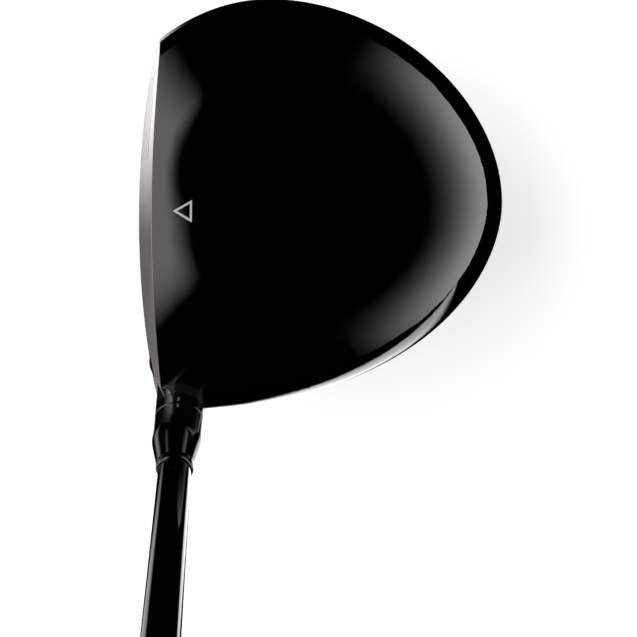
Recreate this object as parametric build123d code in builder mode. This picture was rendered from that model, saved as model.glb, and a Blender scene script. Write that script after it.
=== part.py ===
from build123d import *
import os
from math import atan, cos, degrees, pi, radians, sin, tan

# Golf driver, right handed, standing at address. Millimetres.
# +Z is up and the ground is z = 0. The face looks along -Y, the toe along -X, the heel along +X.
# The origin is the centre of the small flat on the sole that the head rests on.

# ---- driving sizes: head outline ----
toe_x = -63.9            # widest point of the toe
toe_y = -4.0
toe_front_reach = 58.0   # how far ahead of toe_y the toe outline would close
heel_x = 59.7            # widest point of the heel
heel_y = -30.0
heel_front_reach = 26.0
heel_bulge = 2.6         # the skirt under the heel swells this far outside the rim
heel_bulge_y = -26.0
heel_bulge_reach = 44.0
back_x = -4.6            # rearmost point
back_y = 67.2
plan_power = 0.53        # fullness of the outline, 0.5 is an ellipse
rim_front_y = -48.0      # the parting edge between crown and skirt falls towards the back
rim_front_z = 38.5
rim_back_z = 31.0
blank_front_y = -53.0    # the blanks start ahead of the face and are trimmed by it

# ---- driving sizes: crown and sole ----
apex_y = -8.0
apex_z = 62.0
topline_y = -40.0
topline_z = 56.6
sole_dip = 0.35          # the sole bulges this far under the ground plane before the rest flat is cut
sole_front_z = 6.8
sole_back_z = 16.0
sole_back_power = 1.8
back_round_power = 7
crown_power = 2.0
sole_power = 1.95
crown_wall = 0.9
crown_edge_wall = 1.3
sole_wall = 1.3
skirt_wall = 1.3
rib_height = 4.0
rib_width = 1.4
rib_places = (-34.0, -14.0, 14.0)
seam = 0.05              # gap left along glued or welded seams

# ---- driving sizes: face ----
face_loft = 9.6
face_radius = 305.0      # bulge and roll
face_mid_y = -45.3
face_mid_z = 31.6
face_depth = 3.0
face_frame_depth = 4.6
face_frame = 3.0
window_x = -8.0          # oval that rounds off the face plate at the heel
window_z = 30.0
window_rx = 45.0
window_rz = 34.0
score_depth = 0.35
score_width = 0.8
score_pitch = 4.0
score_rows = 9
score_low_z = 14.5
score_toe = (-40.0, -15.0)
score_heel = (13.0, 29.0)

# ---- driving sizes: shaft axis, distances are measured along it from the ground ----
lie = 58.5
axis_x = 27.7
axis_y = -32.0
neck_r = 7.05
neck_top = 58.0
flare_top = 51.0
flare_low = 36.0
flare_r = 10.6
boss_r = 8.6
pocket_r = 5.0
pocket_top = 21.0
ledge_top = 23.5
boss_top = 26.0
bolt_hole_r = 2.75
sleeve_r = 5.70
running = 0.05           # radial clearance of the running fits
sleeve_low = 26.5
tip_low = 38.5
ring_top = 62.2
collar_top = 66.7
collar_r = 7.05
ferrule_wide = 70.0
ferrule_cone_top = 79.6
ferrule_cone_r = 5.15
ferrule_mid = 74.0
ferrule_mid_r = 6.42
ferrule_top = 82.0
tip_r = 4.45
bond = 0.25
face_gap = 0.08          # axial gap between the head neck, the ring and the collar
tang_count = 4
tang_width = 2.6
tang_length = 2.0
tang_depth = 0.65
tang_mid_r = 6.15
tang_clearance = 0.08

# ---- driving sizes: shaft and grip ----
club_length = 1143.0     # 45 inches
grip_length = 267.0
cap_height = 5.0
butt_r = 7.62
butt_wall = 1.2
tip_wall = 1.45
tape = 0.25
grip_mouth_r = 8.9
grip_butt_r = 13.3
grip_pitch = 8.0
grip_groove = 0.5
grip_flutes = 8
vent_r = 2.0

# ---- driving sizes: hosel screw ----
bolt_r = 2.5
bolt_head_r = 4.2
bolt_head_height = 4.4
bolt_top = 36.5
washer_r = 4.6
washer_height = 0.8
thread_pitch = 0.8
thread_depth = 0.35
drive_r = 1.62
drive_lobe_r = 0.5
drive_depth = 2.6
clip_r = 4.6
clip_height = 0.8
clip_split = 0.8
thread_insert_r = 4.0
thread_insert_top = 37.0

# ---- driving sizes: sole weight ----
weight_x = -4.0
weight_y = 40.0
weight_r = 8.0
weight_height = 5.0
weight_sink = 0.8        # the weight sits this far inside the sole
weight_gap = 0.15
weight_boss_r = 10.2
weight_boss_height = 13.5
weight_screw_r = 2.5
weight_head_r = 4.0
weight_head_height = 2.6
insert_r = 4.4
insert_height = 5.0
weight_screw_top = 11.0
insert_low = 6.6
seal_r = 6.2
seal_section = 0.6
# ---- driving sizes: hot-melt bead that catches loose particles inside the head ----
bead_x = -24.0
bead_y = 4.0
bead_r = 12.5
bead_drop = 5.0

# ---- heights of the surfaces ----
even = (1, 1)             # end tangents of splines run at unit speed
plan_toe_reach = back_y - toe_y
plan_heel_reach = back_y - heel_y


def fade(value, start, reach, power=0.5):
    """1 at the start, falling to 0 one reach away, round like an ellipse."""
    part = min(1.0, abs(value - start) / reach)
    return max(0.0, 1 - part * part) ** power


def rim_z(y):
    share = (y - rim_front_y) / (back_y - rim_front_y)
    return rim_front_z + (rim_back_z - rim_front_z) * share


def mid_x(y):
    return back_x * (max(0.0, y) / back_y) ** 2


def crown_z(y):
    if y > apex_y:
        return rim_z(y) + (apex_z - rim_z(apex_y)) * fade(y, apex_y, back_y - apex_y)
    fall = (apex_z - topline_z) * ((y - apex_y) / (topline_y - apex_y)) ** 2
    return apex_z - fall


def sole_z(y):
    if y > 0:
        return (sole_back_z + sole_dip) * (y / back_y) ** sole_back_power - sole_dip
    return (sole_front_z + sole_dip) * (y / rim_front_y) ** 2 - sole_dip


def back_rounding(y, inset):
    """1 over most of the sole, falling to 0 where the skirt rounds off at the back."""
    part = min(1.0, max(0.0, y) / (back_y - inset))
    return (1 - part ** back_round_power) ** 0.5


def side_x(y, inset):
    """Toe and heel edge of the outline, moved inwards by the inset."""
    toe_reach = (plan_toe_reach if y > toe_y else toe_front_reach) - inset
    heel_reach = (plan_heel_reach if y > heel_y else heel_front_reach + 12) - inset
    toe = mid_x(y) + (toe_x - back_x + inset) * fade(y, toe_y, toe_reach, plan_power)
    heel = mid_x(y) + (heel_x - back_x - inset) * fade(y, heel_y, heel_reach, plan_power)
    shift = (back_x - mid_x(y)) * fade(y, toe_y, plan_toe_reach)
    return toe + shift, heel + shift


def bulge(y):
    """How far the skirt swells out under the heel."""
    return heel_bulge * fade(y, heel_bulge_y, heel_bulge_reach, 2)


def half_outline(y, inset, height, power, side):
    """Points of a half section from heel rim over the middle to toe rim."""
    toe, heel = side_x(y, inset)
    middle = mid_x(y)
    points = []
    for angle in (0, 18, 36, 54, 72, 90, 108, 126, 144, 162, 180):
        across = abs(cos(radians(angle))) ** (2 / power)
        upward = abs(sin(radians(angle))) ** (2 / power)
        edge = heel - middle if angle < 90 else toe - middle
        swell = bulge(y) * sin(radians(2 * angle)) if side < 0 and angle < 90 else 0
        points.append((middle + edge * across + swell, rim_z(y) + side * height * upward))
    return points


def half_section(y, inset, height, power, side):
    """Half section of the head: a dome over the rim (side 1) or a bowl under it (side -1)."""
    points = half_outline(y, inset, height, power, side)
    with BuildSketch(Plane((0, y, 0), x_dir=(1, 0, 0), z_dir=(0, -1, 0))) as section:
        with BuildLine():
            start = (0, 1) if side > 0 else (2 * bulge(y), -height)
            Spline(*points, tangents=[start, (0, -side)], tangent_scalars=even)
            Line(points[-1], points[0])
        make_face()
    return section.sketch


def station_places(inset):
    """Section places along Y, closer together where the back rounds off."""
    front = [blank_front_y, -47, -41, -34, -26, -17, toe_y]
    reach = back_y - inset - toe_y
    back = [toe_y + reach * sin(radians(a)) for a in (12, 24, 35, 45, 54, 62, 69, 75, 80, 84, 87)]
    return front + back


def dome(inset, top_inset):
    """Upper half of the head as a solid."""
    sections = []
    for y in station_places(inset):
        scale = fade(y, apex_y, back_y - inset - apex_y) if y > apex_y else 1
        height = crown_z(y) - rim_z(y) - top_inset
        if y > apex_y:
            height = (apex_z - rim_z(apex_y) - top_inset) * scale
        sections.append(half_section(y, inset, height, crown_power, 1))
    return loft(sections=sections)


def bowl(inset, sole_inset):
    """Lower half of the head as a solid."""
    sections = []
    for y in station_places(inset):
        height = (rim_z(y) - sole_z(y) - sole_inset) * back_rounding(y, inset)
        sections.append(half_section(y, inset, height, sole_power, -1))
    return loft(sections=sections)


# ---- face ball: everything ahead of it is trimmed away ----
ball_centre = (0, face_mid_y + face_radius * cos(radians(face_loft)),
               face_mid_z - face_radius * sin(radians(face_loft)))


def ahead_of_face(depth):
    """Block of everything ahead of the face surface moved inwards by the depth."""
    with BuildPart() as block:
        with Locations((0, -70, 35)):
            Box(220, 84, 150)
        with Locations(ball_centre):
            Sphere(face_radius - depth, mode=Mode.SUBTRACT)
    return block.part


# ---- shaft axis ----
along = (cos(radians(lie)), 0, sin(radians(lie)))
across = (sin(radians(lie)), 0, -cos(radians(lie)))
ground_point = (axis_x, axis_y, 0)
# local x is the distance from the axis, local y the distance along it
turning_plane = Plane(ground_point, x_dir=across, z_dir=(0, -1, 0))
shaft_axis = Axis(ground_point, along)


def level(distance):
    """Plane square to the shaft axis at a distance from the ground."""
    origin = tuple(g + distance * a for g, a in zip(ground_point, along))
    return Plane(origin, x_dir=across, z_dir=along)


def turned(points, plane=turning_plane, axis=shaft_axis):
    """Solid of revolution from (radius, distance) points."""
    with BuildPart() as body:
        with BuildSketch(plane):
            with BuildLine():
                Polyline(*points, close=True)
            make_face()
        revolve(axis=axis)
    return body.part


def rod(radius, low, high):
    return turned([(0, low), (radius, low), (radius, high), (0, high)])


# ---- weight port axis: square to the sole, pointing into the head ----
slope = (sole_z(weight_y + 1) - sole_z(weight_y - 1)) / 2
port_tilt = atan(slope)
port_axis = (0, -sin(port_tilt), cos(port_tilt))
port_point = (weight_x, weight_y, sole_z(weight_y))
port_plane = Plane(port_point, x_dir=(1, 0, 0), z_dir=(0, -cos(port_tilt), -sin(port_tilt)))
port_turning = Axis(port_point, port_axis)


def port_turned(points):
    return turned(points, port_plane, port_turning)


def port_rod(radius, low, high):
    return port_turned([(0, low), (radius, low), (radius, high), (0, high)])


# ---- crown ----
crown_outer = dome(0, 0)
crown_inner = dome(crown_edge_wall, crown_wall)
front_block = ahead_of_face(0)
frame_block = ahead_of_face(face_frame_depth)

with BuildSketch(Plane((0, -20, 0), x_dir=(1, 0, 0), z_dir=(0, -1, 0))) as face_window:
    top = half_outline(-44, face_frame, crown_z(-44) - rim_z(-44) - face_frame, crown_power, 1)
    low = half_outline(-44, face_frame, rim_z(-44) - sole_z(-44) - face_frame, sole_power, -1)
    with BuildLine():
        Spline(*top, tangents=[(0, 1), (0, -1)], tangent_scalars=even)
        Spline(*reversed(low), tangents=[(0, -1), (0, 1)], tangent_scalars=even)
    make_face()
    with Locations((window_x, window_z)):
        Ellipse(window_rx, window_rz, mode=Mode.INTERSECT)
window = extrude(face_window.sketch, 60)
score_places = [score_low_z + row * score_pitch for row in range(score_rows)]

with BuildPart() as neck_flare:
    with BuildSketch(turning_plane):
        with BuildLine():
            Polyline((neck_r, flare_top), (neck_r, neck_top), (0, neck_top), (0, flare_low),
                     (flare_r, flare_low))
            Spline((flare_r, flare_low), (neck_r, flare_top), tangents=[(-0.35, 1), (0, 1)])
        make_face()
    revolve(axis=shaft_axis)

with BuildPart() as crown_blank:
    add(crown_outer)
    add(crown_inner - frame_block, mode=Mode.SUBTRACT)
    add(front_block, mode=Mode.SUBTRACT)
    add(window, mode=Mode.SUBTRACT)
    add(neck_flare.part, mode=Mode.SUBTRACT)

# the neck cuts the blank in two: the corner outside the neck stays with the casting
by_size = crown_blank.part.solids().sort_by(SortBy.VOLUME)
with BuildPart() as crown_shell:
    add(by_size[-1])

# ---- body: sole, skirt and neck in one casting ----
body_outer = bowl(0, 0)
body_inner = bowl(skirt_wall, sole_wall)
rib_inner = bowl(skirt_wall + rib_height, sole_wall + rib_height)

with BuildPart() as bosses:
    add(rod(boss_r, -6, boss_top))
    add(port_rod(weight_boss_r, -8, weight_boss_height))
    add(body_outer, mode=Mode.INTERSECT)

with BuildPart() as ribs:
    for place in rib_places:
        with Locations((place, 8, 20)):
            Box(rib_width, 84, 60)
    add(body_outer, mode=Mode.INTERSECT)
    add(rib_inner, mode=Mode.SUBTRACT)

with BuildPart() as body_shell:
    add(body_outer)
    add(body_inner - frame_block, mode=Mode.SUBTRACT)
    add(window, mode=Mode.SUBTRACT)
    add(ribs.part)
    add(bosses.part)
    add(by_size[:-1])
    add(front_block, mode=Mode.SUBTRACT)
    add(neck_flare.part)
    add(rod(neck_r, boss_top - 1, neck_top))
    # rest flat
    with Locations((0, 0, -10)):
        Box(200, 200, 20, mode=Mode.SUBTRACT)
    # screw pocket, ledge hole and sleeve bore
    add(rod(pocket_r, -12, pocket_top), mode=Mode.SUBTRACT)
    add(rod(bolt_hole_r, pocket_top - 1, ledge_top + 1), mode=Mode.SUBTRACT)
    add(rod(sleeve_r + running, ledge_top, neck_top + 1), mode=Mode.SUBTRACT)
    # slots inside the neck for the tangs of the ring
    with BuildSketch(level(neck_top - tang_length - tang_clearance)):
        with PolarLocations(tang_mid_r, tang_count, start_angle=45):
            Rectangle(tang_depth + 2 * tang_clearance, tang_width + 2 * tang_clearance)
    extrude(amount=tang_length + 1, mode=Mode.SUBTRACT)
    # weight port
    add(port_rod(weight_r + weight_gap, -10, weight_sink + weight_height + weight_gap), mode=Mode.SUBTRACT)
    add(port_rod(insert_r + seam, 0, weight_boss_height + 1), mode=Mode.SUBTRACT)

with BuildPart() as score_lines:
    for height in score_places:
        for low_x, high_x in (score_toe, score_heel):
            with Locations(((low_x + high_x) / 2, -50, height)):
                Box(high_x - low_x, 30, score_width)
    with Locations(ball_centre):
        Sphere(face_radius - score_depth, mode=Mode.SUBTRACT)

with BuildPart() as face_insert:
    add(window)
    with Locations(ball_centre):
        Sphere(face_radius, mode=Mode.INTERSECT)
    with Locations(ball_centre):
        Sphere(face_radius - face_depth, mode=Mode.SUBTRACT)
    add(score_lines.part, mode=Mode.SUBTRACT)

with BuildPart() as damping_bead:
    with Locations((bead_x, bead_y, -bead_drop)):
        Sphere(bead_r)
    add(body_inner, mode=Mode.INTERSECT)
    add(ribs.part, mode=Mode.SUBTRACT)

# ---- index ring between the neck and the collar ----
edge = 0.22
ring_low = neck_top + face_gap
with BuildPart() as index_ring:
    add(turned([(sleeve_r + running, ring_low), (neck_r - edge, ring_low), (neck_r, ring_low + edge),
                (neck_r, ring_top - edge), (neck_r - edge, ring_top), (sleeve_r + running, ring_top)]))
    with BuildSketch(level(ring_low - tang_length)):
        with PolarLocations(tang_mid_r, tang_count, start_angle=45):
            Rectangle(tang_depth, tang_width)
    extrude(amount=tang_length + 1)

# ---- sleeve bonded to the shaft tip, with its collar ----
collar_low = ring_top + face_gap
with BuildPart() as hosel_sleeve:
    add(turned([(0, sleeve_low), (sleeve_r - edge, sleeve_low), (sleeve_r, sleeve_low + edge),
                (sleeve_r, collar_low), (collar_r - edge, collar_low), (collar_r, collar_low + edge),
                (collar_r, collar_top), (0, collar_top)]))
    add(rod(thread_insert_r, sleeve_low - 1, thread_insert_top), mode=Mode.SUBTRACT)
    add(rod(tip_r + bond, tip_low, collar_top + 1), mode=Mode.SUBTRACT)

with BuildPart() as thread_insert:
    add(rod(thread_insert_r - 0.02, sleeve_low, thread_insert_top))
    add(rod(bolt_r + running, sleeve_low - 1, thread_insert_top + 1), mode=Mode.SUBTRACT)

with BuildPart() as epoxy_bond:
    add(rod(tip_r + bond - 0.02, tip_low, collar_top - 0.5))
    add(rod(tip_r + 0.02, tip_low - 1, collar_top + 1), mode=Mode.SUBTRACT)

# ---- ferrule and its end lip ----
with BuildPart() as ferrule:
    with BuildSketch(turning_plane):
        with BuildLine():
            Polyline((ferrule_cone_r, ferrule_cone_top), (tip_r + seam, ferrule_cone_top),
                     (tip_r + seam, collar_top), (collar_r, collar_top), (collar_r, ferrule_wide))
            Spline((collar_r, ferrule_wide), (ferrule_mid_r, ferrule_mid),
                   (ferrule_cone_r, ferrule_cone_top), tangents=[(0, 1), (-0.22, 1)],
                   tangent_scalars=even)
        make_face()
    revolve(axis=shaft_axis)

lip_low = ferrule_cone_top + seam
with BuildPart() as ferrule_lip:
    with BuildSketch(turning_plane):
        with BuildLine():
            Polyline((tip_r + 0.15, ferrule_top), (tip_r + seam, ferrule_top), (tip_r + seam, lip_low),
                     (ferrule_cone_r, lip_low))
            Spline((ferrule_cone_r, lip_low), (tip_r + 0.15, ferrule_top), tangents=[(0, 1), (-1, 0.3)])
        make_face()
    revolve(axis=shaft_axis)

# ---- shaft ----
butt_end = club_length - cap_height
grip_low = club_length - grip_length


def shaft_r(distance):
    """Outside radius of the shaft: parallel tip, then an even taper to the butt."""
    share = max(0.0, (distance - ferrule_top) / (butt_end - ferrule_top))
    return tip_r + (butt_r - tip_r) * share


with BuildPart() as shaft_tube:
    add(turned([(tip_r - tip_wall, tip_low), (tip_r, tip_low), (tip_r, ferrule_top),
                (butt_r, butt_end), (butt_r - butt_wall, butt_end)]))

plug_top = tip_low + 12
with BuildPart() as tip_plug:
    add(rod(tip_r - tip_wall - 0.02, tip_low, plug_top))

# ---- grip, its tape and its end cap ----
with BuildPart() as grip_tape:
    add(turned([(shaft_r(grip_low) + 0.02, grip_low), (shaft_r(grip_low) + tape - 0.02, grip_low),
                (butt_r + tape - 0.02, butt_end), (butt_r + 0.02, butt_end)]))


def grip_r(distance):
    """Outside radius of the grip, fuller towards the butt."""
    share = (distance - grip_low) / (butt_end - grip_low)
    return grip_mouth_r + (grip_butt_r - grip_mouth_r) * share ** 1.15


groove_span = grip_length - 50
groove_count = int(groove_span / grip_pitch)
grip_outline = [(grip_mouth_r, grip_low + 1)]
for count in range(groove_count):
    place = grip_low + 22 + count * grip_pitch
    grip_outline += [(grip_r(place - 0.8), place - 0.8), (grip_r(place) - grip_groove, place),
                     (grip_r(place + 0.8), place + 0.8)]
grip_outline.append((grip_butt_r, butt_end))
with BuildPart() as grip:
    add(turned([(shaft_r(grip_low) + tape, grip_low), (grip_mouth_r - 0.6, grip_low)] + grip_outline
               + [(butt_r + tape, butt_end)]))

with BuildPart() as grip_cap:
    add(turned([(vent_r, butt_end), (grip_butt_r, butt_end), (grip_butt_r, club_length - 1.6),
                (grip_butt_r - 0.5, club_length - 0.6), (grip_butt_r - 1.8, club_length),
                (vent_r, club_length)]))

# ---- hosel screw: washer against the ledge, clip above it so the screw stays with the head ----
washer_low = pocket_top - washer_height
head_top = washer_low - running
head_low = head_top - bolt_head_height
thread_low = ledge_top + 3
thread_count = int((bolt_top - thread_low - 1) / thread_pitch)
bolt_outline = [(0, head_low), (bolt_head_r - 0.3, head_low), (bolt_head_r, head_low + 0.3),
                (bolt_head_r, head_top), (bolt_r, head_top)]
for count in range(thread_count):
    place = thread_low + count * thread_pitch
    bolt_outline += [(bolt_r, place), (bolt_r - thread_depth, place + thread_pitch / 2)]
bolt_outline += [(bolt_r, thread_low + thread_count * thread_pitch), (bolt_r, bolt_top - 0.6),
                 (bolt_r - 0.6, bolt_top), (0, bolt_top)]


def drive_star(plane):
    """Six-lobe drive recess drawn on a plane."""
    with BuildSketch(plane) as star:
        Circle(drive_r)
        with PolarLocations(drive_r, 6):
            Circle(drive_lobe_r)
    return star.sketch


with BuildPart() as hosel_bolt:
    add(turned(bolt_outline))
    extrude(drive_star(level(head_low)), amount=drive_depth, mode=Mode.SUBTRACT)

with BuildPart() as bolt_washer:
    add(turned([(bolt_hole_r, washer_low), (washer_r, washer_low), (washer_r, pocket_top),
                (bolt_hole_r, pocket_top)]))

clip_low = ledge_top + 0.1
with BuildPart() as retaining_clip:
    add(turned([(bolt_r + 0.02, clip_low), (clip_r, clip_low), (clip_r, clip_low + clip_height),
                (bolt_r + 0.02, clip_low + clip_height)]))
    with BuildSketch(level(clip_low - 1)):
        with Locations((clip_r, 0)):
            Rectangle(2 * clip_r - 2, clip_split)
    extrude(amount=clip_height + 2, mode=Mode.SUBTRACT)

# ---- sole weight with its screw, seal and threaded insert ----
weight_top = weight_sink + weight_height
recess_top = weight_sink + weight_head_height + 0.15
with BuildPart() as sole_weight:
    add(port_turned([(0, weight_sink), (weight_r - 0.4, weight_sink), (weight_r, weight_sink + 0.4),
                     (weight_r, weight_top), (0, weight_top)]))
    add(port_rod(weight_head_r + 0.15, 0, recess_top), mode=Mode.SUBTRACT)
    add(port_rod(weight_screw_r + running, 0, weight_top + 1), mode=Mode.SUBTRACT)
    groove_low = weight_top - 2 * seal_section + 0.05
    add(port_turned([(seal_r - seal_section - 0.05, groove_low), (seal_r + seal_section + 0.05, groove_low),
                     (seal_r + seal_section + 0.05, weight_top + 1),
                     (seal_r - seal_section - 0.05, weight_top + 1)]), mode=Mode.SUBTRACT)

with BuildPart() as weight_seal:
    with BuildSketch(port_plane):
        with Locations((seal_r, groove_low + seal_section)):
            Circle(seal_section)
    revolve(axis=port_turning)

screw_outline = [(0, weight_sink + 0.1), (weight_head_r - 0.3, weight_sink + 0.1),
                 (weight_head_r, weight_sink + 0.4), (weight_head_r, recess_top - running),
                 (weight_screw_r, recess_top - running)]
screw_thread_low = insert_low
screw_thread_count = int((weight_screw_top - screw_thread_low - 0.6) / thread_pitch)
for count in range(screw_thread_count):
    place = screw_thread_low + count * thread_pitch
    screw_outline += [(weight_screw_r, place), (weight_screw_r - thread_depth, place + thread_pitch / 2)]
screw_outline += [(weight_screw_r, screw_thread_low + screw_thread_count * thread_pitch),
                  (weight_screw_r - 0.4, weight_screw_top), (0, weight_screw_top)]
port_face = Plane(port_point, x_dir=(1, 0, 0), z_dir=port_axis).offset(weight_sink + 0.1)
with BuildPart() as weight_screw:
    add(port_turned(screw_outline))
    extrude(drive_star(port_face), amount=weight_head_height - 1, mode=Mode.SUBTRACT)

with BuildPart() as weight_insert:
    add(port_rod(insert_r, insert_low, insert_low + insert_height))
    add(port_rod(weight_screw_r + running, insert_low - 1, insert_low + insert_height + 1),
        mode=Mode.SUBTRACT)

# ---- export: one file a piece ----
pieces = {
    "crown_shell": crown_shell,
    "body_shell": body_shell,
    "face_insert": face_insert,
    "damping_bead": damping_bead,
    "index_ring": index_ring,
    "hosel_sleeve": hosel_sleeve,
    "thread_insert": thread_insert,
    "epoxy_bond": epoxy_bond,
    "ferrule": ferrule,
    "ferrule_lip": ferrule_lip,
    "shaft_tube": shaft_tube,
    "tip_plug": tip_plug,
    "grip_tape": grip_tape,
    "grip": grip,
    "grip_cap": grip_cap,
    "hosel_bolt": hosel_bolt,
    "bolt_washer": bolt_washer,
    "retaining_clip": retaining_clip,
    "sole_weight": sole_weight,
    "weight_seal": weight_seal,
    "weight_screw": weight_screw,
    "weight_insert": weight_insert,
}
os.makedirs("parts", exist_ok=True)
for name, piece in pieces.items():
    piece.part.label = name
    export_step(piece.part, "parts/" + name + ".step")
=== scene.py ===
import bpy
import numpy as np
from math import cos, pi, radians, sin
from mathutils import Matrix, Vector


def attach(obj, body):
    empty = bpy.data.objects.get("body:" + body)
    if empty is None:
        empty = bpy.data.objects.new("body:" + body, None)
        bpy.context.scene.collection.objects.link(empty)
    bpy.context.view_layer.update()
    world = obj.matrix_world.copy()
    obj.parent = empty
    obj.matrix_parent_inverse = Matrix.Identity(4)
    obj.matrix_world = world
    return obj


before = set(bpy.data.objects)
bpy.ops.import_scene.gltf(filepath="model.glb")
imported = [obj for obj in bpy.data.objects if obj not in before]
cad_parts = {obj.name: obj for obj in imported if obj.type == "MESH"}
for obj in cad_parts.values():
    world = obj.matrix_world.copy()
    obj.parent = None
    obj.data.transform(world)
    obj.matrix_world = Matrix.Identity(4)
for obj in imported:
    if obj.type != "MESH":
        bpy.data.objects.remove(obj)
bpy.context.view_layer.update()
MM = 0.001

# ---- sizes shared with the CAD part, in millimetres ----
TOE_X, TOE_Y, TOE_FRONT_REACH = -63.9, -4.0, 58.0
HEEL_X, HEEL_Y, HEEL_FRONT_REACH = 59.7, -30.0, 26.0
BACK_X, BACK_Y = -4.6, 67.2
PLAN_POWER = 0.53
RIM_FRONT_Y, RIM_FRONT_Z, RIM_BACK_Z = -48.0, 38.5, 31.0
APEX_Y, APEX_Z = -8.0, 62.0
TOPLINE_Y, TOPLINE_Z = -40.0, 56.6
FACE_LOFT, FACE_RADIUS = 9.6, 305.0
FACE_MID_Y, FACE_MID_Z = -45.3, 31.6
AXIS_POINT = (27.7, -32.0, 0.0)
LIE = 58.5
NECK_R = 7.05


# ---- node material helpers ----
def new_material(name):
    mat = bpy.data.materials.new(name)
    mat.use_nodes = True
    nodes = mat.node_tree.nodes
    return mat, nodes, mat.node_tree.links, nodes["Principled BSDF"]


def set_values(shader, **values):
    for key, value in values.items():
        shader.inputs[key.replace("_", " ")].default_value = value


def noise(nodes, links, scale, detail=3.0, stretch=(1, 1, 1)):
    """Noise in object space, in the object's own metres."""
    place = nodes.new("ShaderNodeTexCoord")
    mapping = nodes.new("ShaderNodeMapping")
    mapping.inputs["Scale"].default_value = stretch
    texture = nodes.new("ShaderNodeTexNoise")
    texture.inputs["Scale"].default_value = scale
    texture.inputs["Detail"].default_value = detail
    links.new(place.outputs["Object"], mapping.inputs["Vector"])
    links.new(mapping.outputs["Vector"], texture.inputs["Vector"])
    return texture.outputs["Fac"]


def remap(nodes, links, value, low, high, in_low=0.3, in_high=0.7):
    node = nodes.new("ShaderNodeMapRange")
    node.inputs["From Min"].default_value = in_low
    node.inputs["From Max"].default_value = in_high
    node.inputs["To Min"].default_value = low
    node.inputs["To Max"].default_value = high
    links.new(value, node.inputs["Value"])
    return node.outputs["Result"]


def two_colours(nodes, links, value, first, second):
    ramp = nodes.new("ShaderNodeValToRGB")
    ramp.color_ramp.elements[0].position = 0.3
    ramp.color_ramp.elements[1].position = 0.7
    ramp.color_ramp.elements[0].color = (*first, 1)
    ramp.color_ramp.elements[1].color = (*second, 1)
    links.new(value, ramp.inputs["Fac"])
    return ramp.outputs["Color"]


def bump(nodes, links, value, shader, distance, strength=1.0):
    node = nodes.new("ShaderNodeBump")
    node.inputs["Distance"].default_value = distance
    node.inputs["Strength"].default_value = strength
    links.new(value, node.inputs["Height"])
    links.new(node.outputs["Normal"], shader.inputs["Normal"])


def surface(name, dark, light, rough, metallic=0.0, coat=0.0, grain=400.0, stretch=(1, 1, 1),
            relief=0.0, tint_scale=60.0, **extra):
    """Material with a mottled colour, a varying roughness and an optional fine relief."""
    mat, nodes, links, shader = new_material(name)
    tint = noise(nodes, links, tint_scale, 4)
    links.new(two_colours(nodes, links, tint, dark, light), shader.inputs["Base Color"])
    fine = noise(nodes, links, grain, 2, stretch)
    links.new(remap(nodes, links, fine, rough[0], rough[1]), shader.inputs["Roughness"])
    set_values(shader, Metallic=metallic, Coat_Weight=coat, Coat_Roughness=0.03)
    set_values(shader, **extra)
    if relief:
        bump(nodes, links, fine, shader, relief)
    return mat


black_gloss = surface("black_gloss", (0.0006, 0.0006, 0.0007), (0.0009, 0.0009, 0.001),
                      (0.012, 0.022), grain=900)
body_metal = surface("smoked_metal", (0.010, 0.010, 0.011), (0.016, 0.016, 0.017), (0.10, 0.16),
                     coat=0.6, grain=1500)
face_metal = surface("face_metal", (0.30, 0.28, 0.285), (0.37, 0.35, 0.355), (0.32, 0.42),
                     metallic=0.6, grain=260, stretch=(1, 1, 14), relief=0.00001)
anodised = surface("black_anodised", (0.0012, 0.0012, 0.0014), (0.002, 0.002, 0.0023),
                   (0.12, 0.18), grain=1800)
ferrule_black = surface("ferrule_black", (0.0007, 0.0007, 0.0008), (0.0012, 0.0012, 0.0013),
                        (0.07, 0.12), grain=1400)
shaft_black = surface("shaft_black", (0.0008, 0.0008, 0.0009), (0.0014, 0.0014, 0.0016),
                      (0.05, 0.09), coat=0.5, grain=700, stretch=(1, 1, 0.2))
rubber = surface("grip_rubber", (0.010, 0.010, 0.010), (0.022, 0.022, 0.022), (0.55, 0.8),
                 grain=1200, relief=0.00015)
steel = surface("plain_steel", (0.42, 0.42, 0.43), (0.52, 0.52, 0.53), (0.22, 0.34), metallic=1.0,
                grain=900, relief=0.00002)
dark_steel = surface("dark_steel", (0.06, 0.06, 0.062), (0.10, 0.10, 0.102), (0.25, 0.36),
                     metallic=0.9, grain=900, relief=0.00002)
weight_metal = surface("weight_metal", (0.30, 0.30, 0.31), (0.38, 0.38, 0.39), (0.2, 0.3),
                       metallic=1.0, grain=800, relief=0.00001)
pale = surface("pale_filler", (0.55, 0.48, 0.33), (0.70, 0.62, 0.45), (0.35, 0.6), grain=300,
               relief=0.0001)


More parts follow.
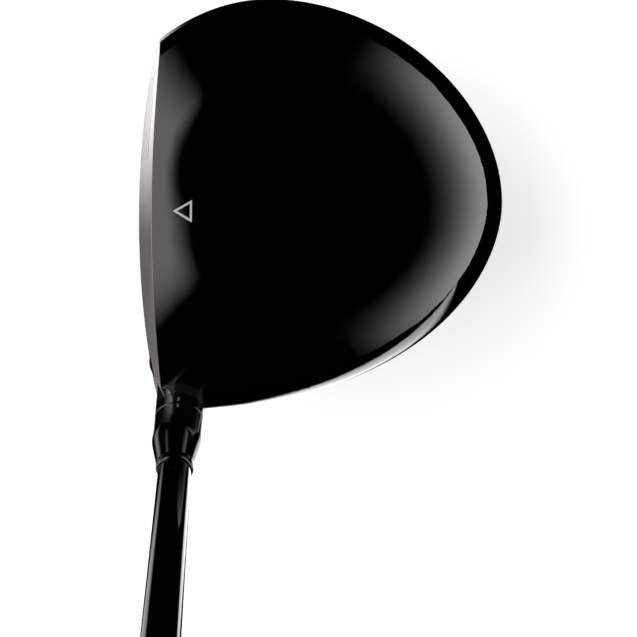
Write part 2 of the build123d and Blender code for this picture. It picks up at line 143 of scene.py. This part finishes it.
def on_the_face(name, finish, face):
    """Copy of a finish that turns into the face finish on the ball-shaped face surface."""
    mat = finish.copy()
    mat.name = name
    nodes, links = mat.node_tree.nodes, mat.node_tree.links
    first = nodes["Principled BSDF"]
    second = nodes.new("ShaderNodeBsdfPrincipled")
    place = nodes.new("ShaderNodeTexCoord")
    reach = nodes.new("ShaderNodeVectorMath")
    reach.operation = "DISTANCE"
    reach.inputs[1].default_value = BALL_CENTRE
    links.new(place.outputs["Object"], reach.inputs[0])
    behind = remap(nodes, links, reach.outputs["Value"], 0, 1,
                   (FACE_RADIUS - MASK_FAR) * MM, (FACE_RADIUS - MASK_NEAR) * MM)
    ahead = remap(nodes, links, reach.outputs["Value"], 1, 0,
                  (FACE_RADIUS + MASK_AHEAD) * MM, (FACE_RADIUS + MASK_END) * MM)
    both = nodes.new("ShaderNodeMath")
    both.operation = "MULTIPLY"
    links.new(behind, both.inputs[0])
    links.new(ahead, both.inputs[1])
    mask = both.outputs[0]
    streak = noise(nodes, links, 260, 2, (1, 1, 14))
    links.new(two_colours(nodes, links, streak, *face["colours"]), second.inputs["Base Color"])
    links.new(remap(nodes, links, streak, *face["rough"]), second.inputs["Roughness"])
    set_values(second, Metallic=face["metallic"])
    pick = nodes.new("ShaderNodeMixShader")
    links.new(mask, pick.inputs[0])
    links.new(first.outputs[0], pick.inputs[1])
    links.new(second.outputs[0], pick.inputs[2])
    links.new(pick.outputs[0], nodes["Material Output"].inputs["Surface"])
    return mat


MASK_FAR, MASK_NEAR, MASK_AHEAD, MASK_END = 0.12, 0.04, 0.10, 0.18
FACE_LOOK = {"colours": ((0.30, 0.28, 0.285), (0.37, 0.35, 0.355)), "rough": (0.32, 0.42),
             "metallic": 0.6}
BALL_CENTRE = (0, (FACE_MID_Y + FACE_RADIUS * cos(radians(FACE_LOFT))) * MM,
               (FACE_MID_Z - FACE_RADIUS * sin(radians(FACE_LOFT))) * MM)
body_and_face = on_the_face("smoked_metal_and_face", body_metal, FACE_LOOK)
crown_and_face = on_the_face("black_gloss_and_face", black_gloss, FACE_LOOK)

FINISHES = {
    "crown_shell": crown_and_face, "body_shell": body_and_face, "face_insert": face_metal,
    "damping_bead": pale, "index_ring": anodised, "hosel_sleeve": anodised,
    "thread_insert": steel, "epoxy_bond": pale, "ferrule": ferrule_black,
    "ferrule_lip": ferrule_black, "shaft_tube": shaft_black, "tip_plug": pale,
    "grip_tape": pale, "grip": rubber, "grip_cap": rubber, "hosel_bolt": dark_steel,
    "bolt_washer": steel, "retaining_clip": steel, "sole_weight": weight_metal,
    "weight_seal": rubber, "weight_screw": dark_steel, "weight_insert": steel,
}
for name, finish in FINISHES.items():
    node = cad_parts[name]
    node.data.materials.clear()
    node.data.materials.append(finish)


# ---- crown surface, the same dome as the CAD part, in millimetres ----
def fade(value, start, reach, power=0.5):
    part = np.minimum(1.0, np.abs(value - start) / reach)
    return np.maximum(0.0, 1 - part * part) ** power


def rim_z(y):
    return RIM_FRONT_Z + (RIM_BACK_Z - RIM_FRONT_Z) * (y - RIM_FRONT_Y) / (BACK_Y - RIM_FRONT_Y)


def dome_parts(y):
    """Middle line, toe edge, heel edge and rise of the crown at a place along Y."""
    middle = BACK_X * (np.maximum(0.0, y) / BACK_Y) ** 2
    toe_reach = np.where(y > TOE_Y, BACK_Y - TOE_Y, TOE_FRONT_REACH)
    heel_reach = np.where(y > HEEL_Y, BACK_Y - HEEL_Y, HEEL_FRONT_REACH)
    toe = middle + (TOE_X - BACK_X) * fade(y, TOE_Y, toe_reach, PLAN_POWER)
    heel = middle + (HEEL_X - BACK_X) * fade(y, HEEL_Y, heel_reach, PLAN_POWER)
    shift = (BACK_X - middle) * fade(y, TOE_Y, BACK_Y - TOE_Y)
    back = (APEX_Z - rim_z(APEX_Y)) * fade(y, APEX_Y, BACK_Y - APEX_Y)
    fall = (APEX_Z - TOPLINE_Z) * ((y - APEX_Y) / (TOPLINE_Y - APEX_Y)) ** 2
    rise = np.where(y > APEX_Y, back, APEX_Z - fall - rim_z(y))
    return middle, toe + shift, heel + shift, rise


def dome_z(x, y):
    middle, toe, heel, rise = dome_parts(np.asarray(y, float))
    edge = np.where(x > middle, heel - middle, toe - middle)
    return rim_z(y) + rise * np.sqrt(np.maximum(0.0, 1 - ((x - middle) / edge) ** 2))


def mesh_object(name, vertices, faces, material, body, smooth=True):
    mesh = bpy.data.meshes.new(name)
    mesh.from_pydata([tuple(v) for v in vertices], [], faces)
    mesh.materials.append(material)
    mesh.polygons.foreach_set("use_smooth", [smooth] * len(mesh.polygons))
    mesh.update()
    obj = bpy.data.objects.new(name, mesh)
    bpy.context.scene.collection.objects.link(obj)
    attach(obj, body)
    return obj


# ---- alignment mark and index ticks: thin paint, just over the surface ----
paint = surface("mark_paint", (0.62, 0.62, 0.64), (0.72, 0.72, 0.74), (0.35, 0.5), grain=2000)
tick_paint = surface("tick_paint", (0.10, 0.10, 0.105), (0.14, 0.14, 0.145), (0.4, 0.55),
                     grain=2000)
MARK_TIP = (0.3, -34.0)
MARK_BACK_Y = -28.6
MARK_HALF = 3.1
MARK_LINE = 0.34          # share of the way from the edge to the middle
MARK_LIFT = 0.03


def triangle_outline(tip, back_y, half, line, steps=14):
    """Points of an outlined triangle lying on the crown, outer and inner loops."""
    outer = [tip, (tip[0] + half, back_y), (tip[0] - half, back_y)]
    centre = np.mean(outer, axis=0)
    inner = [tuple(centre + (np.array(p) - centre) * (1 - line)) for p in outer]
    loops = []
    for loop in (outer, inner):
        run = []
        for first, second in zip(loop, loop[1:] + loop[:1]):
            for step in range(steps):
                share = step / steps
                run.append(tuple(np.array(first) * (1 - share) + np.array(second) * share))
        loops.append(run)
    return loops


loops = triangle_outline(MARK_TIP, MARK_BACK_Y, MARK_HALF, MARK_LINE)
count = len(loops[0])
flat_points = loops[0] + loops[1]
points = [(x * MM, y * MM, (float(dome_z(x, y)) + MARK_LIFT) * MM) for x, y in flat_points]
faces = [(i, (i + 1) % count, count + (i + 1) % count, count + i) for i in range(count)]
mark = mesh_object("alignment_mark", points, faces, paint, "head", smooth=False)

along = np.array([cos(radians(LIE)), 0, sin(radians(LIE))])
upper_side = np.array([-sin(radians(LIE)), 0, cos(radians(LIE))])
sideways = np.array([0.0, 1.0, 0.0])
TICK_HALF_ANGLE = 2.6
TICK_RADIUS = NECK_R + 0.03
RING_TICK = (60.0, 61.6)     # from and to, along the shaft axis
COLLAR_TICK = (62.8, 64.2)


def neck_patch(name, body, low, high, steps=6):
    """Small painted patch on the round neck, between two places along the shaft axis."""
    points, faces = [], []
    for step in range(steps + 1):
        angle = radians(TICK_HALF_ANGLE * (2 * step / steps - 1))
        out = upper_side * cos(angle) + sideways * sin(angle)
        for place in (low, high):
            points.append(tuple((np.array(AXIS_POINT) + along * place + out * TICK_RADIUS) * MM))
    for step in range(steps):
        faces.append((2 * step, 2 * step + 2, 2 * step + 3, 2 * step + 1))
    return mesh_object(name, points, faces, tick_paint, body)


ring_tick = neck_patch("ring_tick", "ring", *RING_TICK)
collar_tick = neck_patch("collar_tick", "shaft", *COLLAR_TICK)


class TreeMath:
    """Arithmetic and soft steps, made as nodes in one node tree."""

    def __init__(self, tree):
        self.nodes, self.links = tree.nodes, tree.links

    def feed(self, socket, value):
        if isinstance(value, (int, float)):
            socket.default_value = value
        else:
            self.links.new(value, socket)

    def calc(self, operation, *values):
        node = self.nodes.new("ShaderNodeMath")
        node.operation = operation
        for socket, value in zip(node.inputs, values):
            self.feed(socket, value)
        return node.outputs[0]

    def product(self, *values):
        result = values[0]
        for value in values[1:]:
            result = self.calc("MULTIPLY", result, value)
        return result

    def smooth(self, value, start, end):
        """0 at the start and 1 at the end, soft at both."""
        node = self.nodes.new("ShaderNodeMapRange")
        node.interpolation_type = "SMOOTHSTEP"
        node.inputs["From Min"].default_value = min(start, end)
        node.inputs["From Max"].default_value = max(start, end)
        node.inputs["To Min"].default_value = 0 if start < end else 1
        node.inputs["To Max"].default_value = 1 if start < end else 0
        self.links.new(value, node.inputs["Value"])
        return node.outputs["Result"]


# ---- floor ----
FLOOR_HALF = 6.0
FLOOR_TONE = 0.9
FLOOR_GLOW = 0.66
STRIP_LEVEL, FRONT_LEVEL, TOE_LEVEL = 3.6, 1.6, 3.2
STRIP_SLOPE, STRIP_SHIFT = 2.1, 0.137

floor_mesh = bpy.data.meshes.new("floor")
corners = [(-1, -1), (1, -1), (1, 1), (-1, 1)]
floor_mesh.from_pydata([(x * FLOOR_HALF, y * FLOOR_HALF, 0) for x, y in corners], [],
                       [(0, 1, 2, 3)])
floor = bpy.data.objects.new("floor", floor_mesh)
bpy.context.scene.collection.objects.link(floor)
floor_mat = bpy.data.materials.new("floor")
floor_mat.use_nodes = True
nodes, links = floor_mat.node_tree.nodes, floor_mat.node_tree.links
nodes.clear()
output = nodes.new("ShaderNodeOutputMaterial")
diffuse = nodes.new("ShaderNodeBsdfDiffuse")
diffuse.inputs["Color"].default_value = (FLOOR_TONE, FLOOR_TONE, FLOOR_TONE, 1)
glow = nodes.new("ShaderNodeEmission")
path = nodes.new("ShaderNodeLightPath")
plain = nodes.new("ShaderNodeAddShader")
mirrored = nodes.new("ShaderNodeEmission")
pick = nodes.new("ShaderNodeMixShader")
m = TreeMath(floor_mat.node_tree)

# lit patches, seen only in reflections: a strip beside the shaft, one ahead of the neck
# and one ahead of the toe; the rest of the floor reflects as dark
place = nodes.new("ShaderNodeTexCoord")
split = nodes.new("ShaderNodeSeparateXYZ")
links.new(place.outputs["Object"], split.inputs[0])
x, y, z = split.outputs
beside = m.calc("SUBTRACT", y, m.calc("MULTIPLY", x, STRIP_SLOPE))
beside = m.calc("ABSOLUTE", m.calc("ADD", beside, STRIP_SHIFT))
strip = m.product(m.smooth(beside, 0.10, 0.05), m.smooth(x, 0.060, 0.072), STRIP_LEVEL)
front = m.product(m.smooth(y, -0.10, -0.14), m.smooth(x, 0.0, 0.04), FRONT_LEVEL)
toe_patch = m.product(m.smooth(y, -0.045, -0.06), m.smooth(y, -0.12, -0.085),
                      m.smooth(x, 0.01, -0.05), m.smooth(x, -0.10, -0.07), TOE_LEVEL)
lit = m.calc("ADD", m.calc("ADD", strip, front), toe_patch)
links.new(lit, mirrored.inputs["Strength"])
links.new(m.calc("MULTIPLY", path.outputs["Is Camera Ray"], FLOOR_GLOW),
          glow.inputs["Strength"])
links.new(diffuse.outputs[0], plain.inputs[0])
links.new(glow.outputs[0], plain.inputs[1])
links.new(path.outputs["Is Glossy Ray"], pick.inputs[0])
links.new(plain.outputs[0], pick.inputs[1])
links.new(mirrored.outputs[0], pick.inputs[2])
links.new(pick.outputs[0], output.inputs["Surface"])
floor_mesh.materials.append(floor_mat)

# ---- studio: dark overhead, a tall soft panel behind the head and one ahead of the face ----
BACK_LEVEL, FRONT_PANEL_LEVEL, FILL_LEVEL = 5.0, 3.4, 0.003

world = bpy.data.worlds.new("studio")
bpy.context.scene.world = world
world.use_nodes = True
nodes, links = world.node_tree.nodes, world.node_tree.links
nodes.clear()
output = nodes.new("ShaderNodeOutputWorld")
coords = nodes.new("ShaderNodeTexCoord")
split = nodes.new("ShaderNodeSeparateXYZ")
links.new(coords.outputs["Generated"], split.inputs[0])
m = TreeMath(world.node_tree)
x, y, z = split.outputs

# side is +1 at the heel, depth is +1 at the back; heel_side is side, cut off at zero
flat = m.calc("SQRT", m.calc("ADD", m.calc("MULTIPLY", x, x), m.calc("MULTIPLY", y, y)))
flat = m.calc("MAXIMUM", flat, 0.001)
side = m.calc("DIVIDE", x, flat)
depth = m.calc("DIVIDE", y, flat)
heel_side = m.calc("MAXIMUM", side, 0.0)

low_edge = m.calc("ADD", z, m.calc("MULTIPLY", side, 0.16))
behind = m.calc("SUBTRACT", depth, m.calc("MULTIPLY", heel_side, 0.07))
back_panel = m.product(m.smooth(z, 0.66, 0.12), m.smooth(low_edge, -0.38, -0.29),
                       m.smooth(behind, 0.45, 0.95), BACK_LEVEL)
before = m.calc("ADD", depth, m.calc("MULTIPLY", side, 0.2))
before = m.calc("SUBTRACT", before, m.calc("MULTIPLY", heel_side, 0.14))
front_top = m.calc("SUBTRACT", z, m.calc("MULTIPLY", side, 0.15))
front_top = m.calc("ADD", front_top, m.calc("MULTIPLY", heel_side, 0.12))
front_panel = m.product(m.smooth(front_top, 0.885, 0.80), m.smooth(z, -0.35, 0.1),
                        m.smooth(before, -0.70, -0.95), FRONT_PANEL_LEVEL)
studio = m.calc("ADD", m.calc("ADD", back_panel, front_panel), FILL_LEVEL)

studio_light = nodes.new("ShaderNodeBackground")
links.new(studio, studio_light.inputs["Strength"])
white = nodes.new("ShaderNodeBackground")
path = nodes.new("ShaderNodeLightPath")
pick = nodes.new("ShaderNodeMixShader")
white.inputs["Color"].default_value = (1, 1, 1, 1)
links.new(path.outputs["Is Camera Ray"], pick.inputs[0])
links.new(studio_light.outputs[0], pick.inputs[1])
links.new(white.outputs[0], pick.inputs[2])
links.new(pick.outputs[0], output.inputs["Surface"])

# ---- camera: above the head, looking almost straight down ----
CAMERA_PLACE = (0.008525, -0.017006, 0.310736)
CAMERA_RIGHT = (-0.02312, 0.99531, 0.09388)
CAMERA_AHEAD = (0.08272, 0.09549, -0.99199)
CAMERA_LENS = 50.634
camera_data = bpy.data.cameras.new("camera")
camera_data.sensor_width = 36
camera_data.lens = CAMERA_LENS
camera_data.clip_start = 0.01
camera_data.clip_end = 50
camera = bpy.data.objects.new("camera", camera_data)
bpy.context.scene.collection.objects.link(camera)
right = Vector(CAMERA_RIGHT).normalized()
ahead = Vector(CAMERA_AHEAD).normalized()
up = right.cross(ahead).normalized()
right = ahead.cross(up)
turn = Matrix((right, up, -ahead)).transposed().to_4x4()
camera.matrix_world = Matrix.Translation(CAMERA_PLACE) @ turn
bpy.context.scene.camera = camera
bpy.context.scene.view_settings.view_transform = "Standard"
